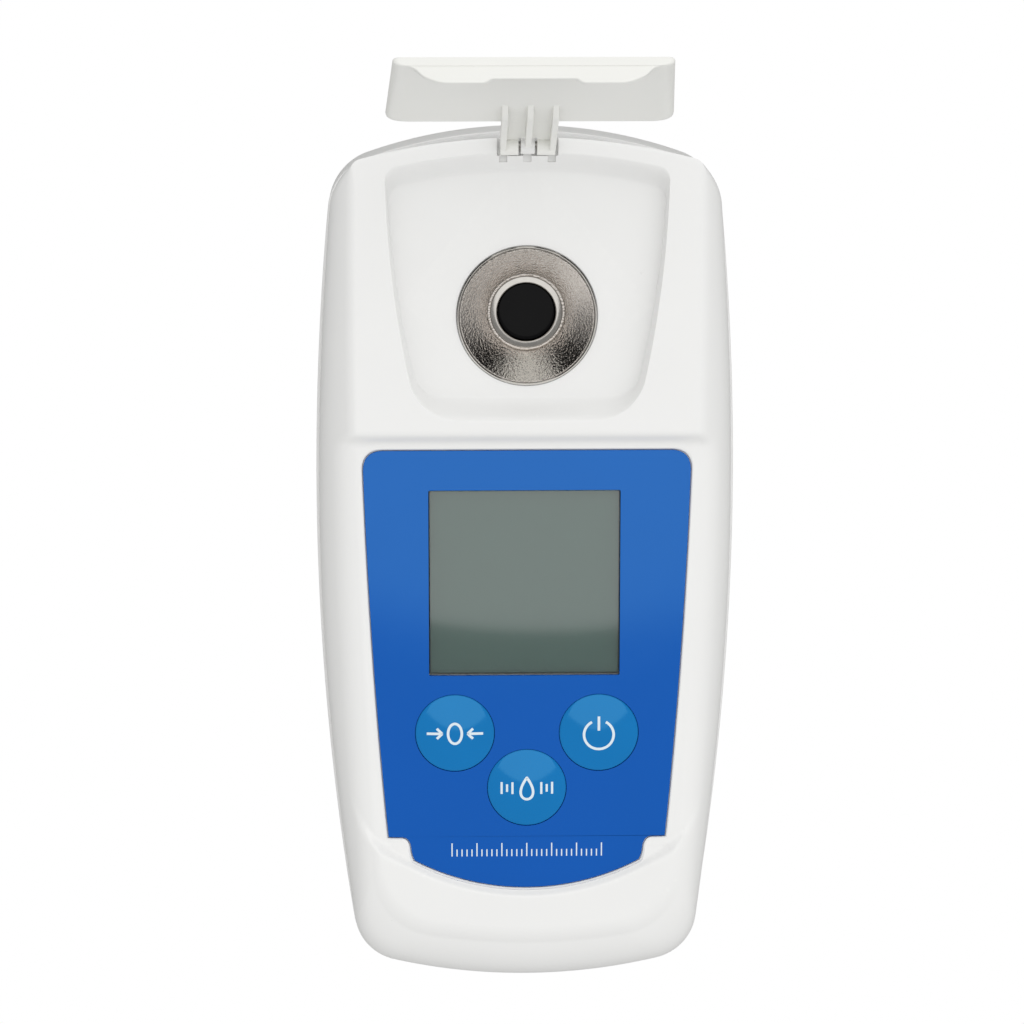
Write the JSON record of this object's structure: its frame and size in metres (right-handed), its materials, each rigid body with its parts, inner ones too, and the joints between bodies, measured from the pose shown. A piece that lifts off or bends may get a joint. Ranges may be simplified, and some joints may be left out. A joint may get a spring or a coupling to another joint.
{
  "type": "digital refractometer",
  "caption": "Pocket digital refractometer with a conical metal sample well under a flip cover, a display window, a key panel and a sliding battery door.",
  "frame": {"origin": "middle of the flat back face on which the instrument lies", "axes": "+Z out of the front face, +Y towards the flip cover's end, +X to the right as the face is read"},
  "size_m": [0.058, 0.134, 0.0553],
  "materials": {
    "case_white": "white glossy ABS",
    "panel_blue": "printed polycarbonate film, fine satin",
    "key_blue": "domed glossy key",
    "window": "clear acrylic",
    "display": "reflective liquid crystal display, unpowered",
    "well_steel": "turned stainless steel, finely textured cone",
    "bright_steel": "plated steel",
    "prism_glass": "dark polished optical glass",
    "lens_glass": "clear optical glass",
    "black_plastic": "matt black moulded plastic",
    "rubber": "soft black rubber",
    "board": "green circuit board",
    "film_copper": "amber flat cable film",
    "cell_jacket": "shrink-wrapped cell jacket, no print"
  },
  "bodies": {
    "case": {"front_shell": "case_white", "back_shell": "case_white", "case_gasket": "rubber", "sample_well": "well_steel", "prism_ring": "well_steel", "prism": "prism_glass", "prism_seal": "rubber", "well_seal": "rubber", "optics_housing": "black_plastic", "lens": "lens_glass", "lamp": "lens_glass", "lamp_board": "board", "image_sensor": "black_plastic", "sensor_board": "board", "thermistor": "black_plastic", "ribbon_cable": "film_copper", "hinge_pin": "bright_steel", "overlay_panel": "panel_blue", "display_window": "window", "display_cell": "display", "display_holder": "case_white", "display_reflector": "case_white", "contact_strip": "rubber", "display_pad": "rubber", "main_board": "board", "controller_chip": "black_plastic", "memory_chip": "black_plastic", "clock_crystal": "bright_steel", "switch_zero": "black_plastic", "switch_power": "black_plastic", "switch_measure": "black_plastic", "battery": "cell_jacket", "battery_spring": "bright_steel", "battery_plate": "bright_steel", "case_screw_1": "bright_steel", "case_screw_2": "bright_steel", "case_screw_3": "bright_steel", "case_screw_4": "bright_steel", "board_screw_1": "bright_steel", "board_screw_2": "bright_steel", "board_screw_3": "bright_steel", "board_screw_4": "bright_steel", "optics_screw_1": "bright_steel", "optics_screw_2": "bright_steel"},
    "cover": {"flap": "case_white"},
    "zero_key": {"key_zero": "key_blue", "plunger_zero": "black_plastic"},
    "power_key": {"key_power": "key_blue", "plunger_power": "black_plastic"},
    "measure_key": {"key_measure": "key_blue", "plunger_measure": "black_plastic"},
    "door": {"battery_door": "case_white"}
  },
  "joints": [
    {"name": "cover_hinge", "type": "hinge", "parent": "case", "child": "cover", "pos_m": [0, 0.0598, 0.024], "axis": [1, 0, 0], "range_deg": [0, 113]},
    {"name": "zero_press", "type": "slide", "parent": "case", "child": "zero_key", "axis": [0, 0, -1], "range_m": [0, 0.0004], "stiffness_N_per_m": 600},
    {"name": "power_press", "type": "slide", "parent": "case", "child": "power_key", "axis": [0, 0, -1], "range_m": [0, 0.0004], "stiffness_N_per_m": 600},
    {"name": "measure_press", "type": "slide", "parent": "case", "child": "measure_key", "axis": [0, 0, -1], "range_m": [0, 0.0004], "stiffness_N_per_m": 600},
    {"name": "door_slide", "type": "slide", "parent": "case", "child": "door", "axis": [0, -1, 0], "range_m": [0, 0.05]}
  ]
}
